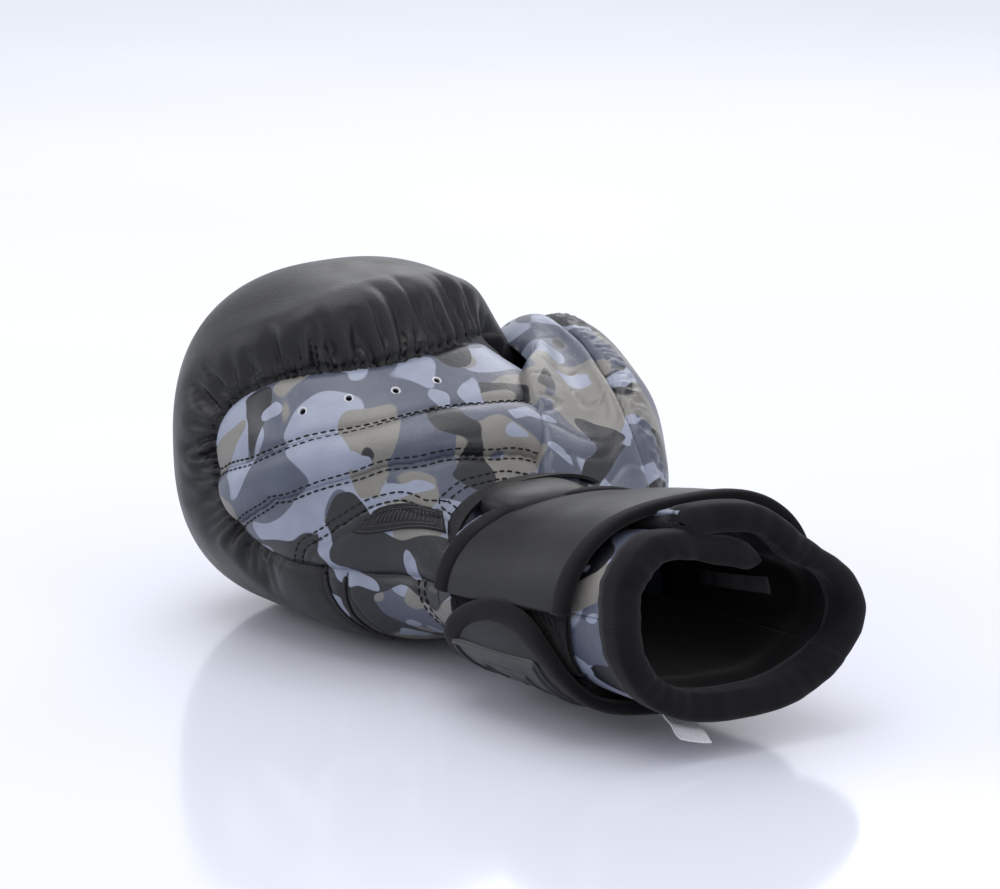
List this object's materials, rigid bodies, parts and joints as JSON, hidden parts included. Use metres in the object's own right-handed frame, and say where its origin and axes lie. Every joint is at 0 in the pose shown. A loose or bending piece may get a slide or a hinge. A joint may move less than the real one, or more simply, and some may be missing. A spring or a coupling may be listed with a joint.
{
  "type": "boxing glove",
  "caption": "Right-hand padded boxing glove, palm up, with gathered mitt, side thumb, slit cuff and a wrap-round hook-and-loop wrist strap.",
  "frame": {"origin": "middle of the bounding box, on the surface that the glove lies on", "axes": "+X towards the cuff's mouth, +Y towards the thumb, +Z out of the palm"},
  "size_m": [0.29, 0.1744, 0.1364],
  "materials": {
    "black_leather": "semi-matt, fine grain",
    "camo_leather": "satin printed leather in grey camouflage",
    "foam": "matt closed-cell foam",
    "lining": "smooth satin lining",
    "binding": "matt knitted tape",
    "strap_leather": "smooth dull synthetic leather",
    "loop_pile": "napped loop pile",
    "hook_tape": "moulded hooks",
    "plate_rubber": "satin moulded rubber",
    "woven_label": "woven ribbon",
    "paper_label": "printed satin ribbon, blank",
    "piping": "cut leather edge"
  },
  "bodies": {
    "root": {"outer_shell": "black_leather", "palm_finger_panel": "camo_leather", "grip_bar_panel": "camo_leather", "grip_bar_foam": "foam", "palm_center_panel": "camo_leather", "palm_heel_panel": "camo_leather", "wrist_back_panel": "camo_leather", "wrist_side_panel": "camo_leather", "wrist_piping": "piping", "knuckle_foam_outer": "foam", "palm_foam_pad": "foam", "knuckle_foam_inner": "foam", "fingertip_roll_foam": "foam", "hand_lining": "lining", "thumb_lining": "lining", "palm_label": "woven_label", "thumb_inner_panel": "camo_leather", "thumb_outer_panel": "camo_leather", "thumb_back_panel": "black_leather", "thumb_foam": "foam", "thumb_lock": "black_leather", "cuff_back_shell": "camo_leather", "cuff_palm_shell": "camo_leather", "slit_reinforcement": "camo_leather", "cuff_back_foam": "foam", "cuff_palm_foam": "foam", "cuff_lining": "lining", "cuff_palm_lining": "lining", "mouth_binding": "binding", "slit_tongue": "lining", "care_label": "paper_label", "size_label": "paper_label", "loop_patch": "loop_pile"},
    "cuff_flap": {"cuff_flap_shell": "camo_leather", "cuff_flap_foam": "foam", "cuff_flap_lining": "lining", "cuff_flap_binding": "binding"},
    "strap_upper": {"strap_palm_section": "strap_leather", "strap_palm_binding": "binding"},
    "strap_lower": {"strap_back_section": "strap_leather", "strap_back_binding": "binding"},
    "strap_tab": {"strap_tab": "strap_leather", "tab_binding": "binding", "hook_patch": "hook_tape", "tab_plate": "plate_rubber"}
  },
  "joints": [
    {"name": "strap_palm_lift", "type": "hinge", "parent": "root", "child": "strap_upper", "pos_m": [0.075, -0.067, 0.0505], "axis": [1, 0, 0], "range_deg": [0, 45]},
    {"name": "strap_back_swing", "type": "hinge", "parent": "strap_upper", "child": "strap_lower", "pos_m": [0.075, 0.0372, 0.047], "axis": [1, 0, 0], "range_deg": [0, 150]},
    {"name": "strap_tab_peel", "type": "hinge", "parent": "strap_lower", "child": "strap_tab", "pos_m": [0.075, -0.027, 0.0068], "axis": [1, 0, 0], "range_deg": [0, 120]},
    {"name": "cuff_flap_open", "type": "hinge", "parent": "root", "child": "cuff_flap", "pos_m": [0.095, 0.03, 0.0618], "axis": [-1, 0, 0], "range_deg": [0, 22.5]}
  ],
  "couplings": [
    {"joint": "strap_palm_lift", "follows": "strap_back_swing", "ratio": 0.3},
    {"joint": "cuff_flap_open", "follows": "strap_back_swing", "ratio": 0.15}
  ]
}
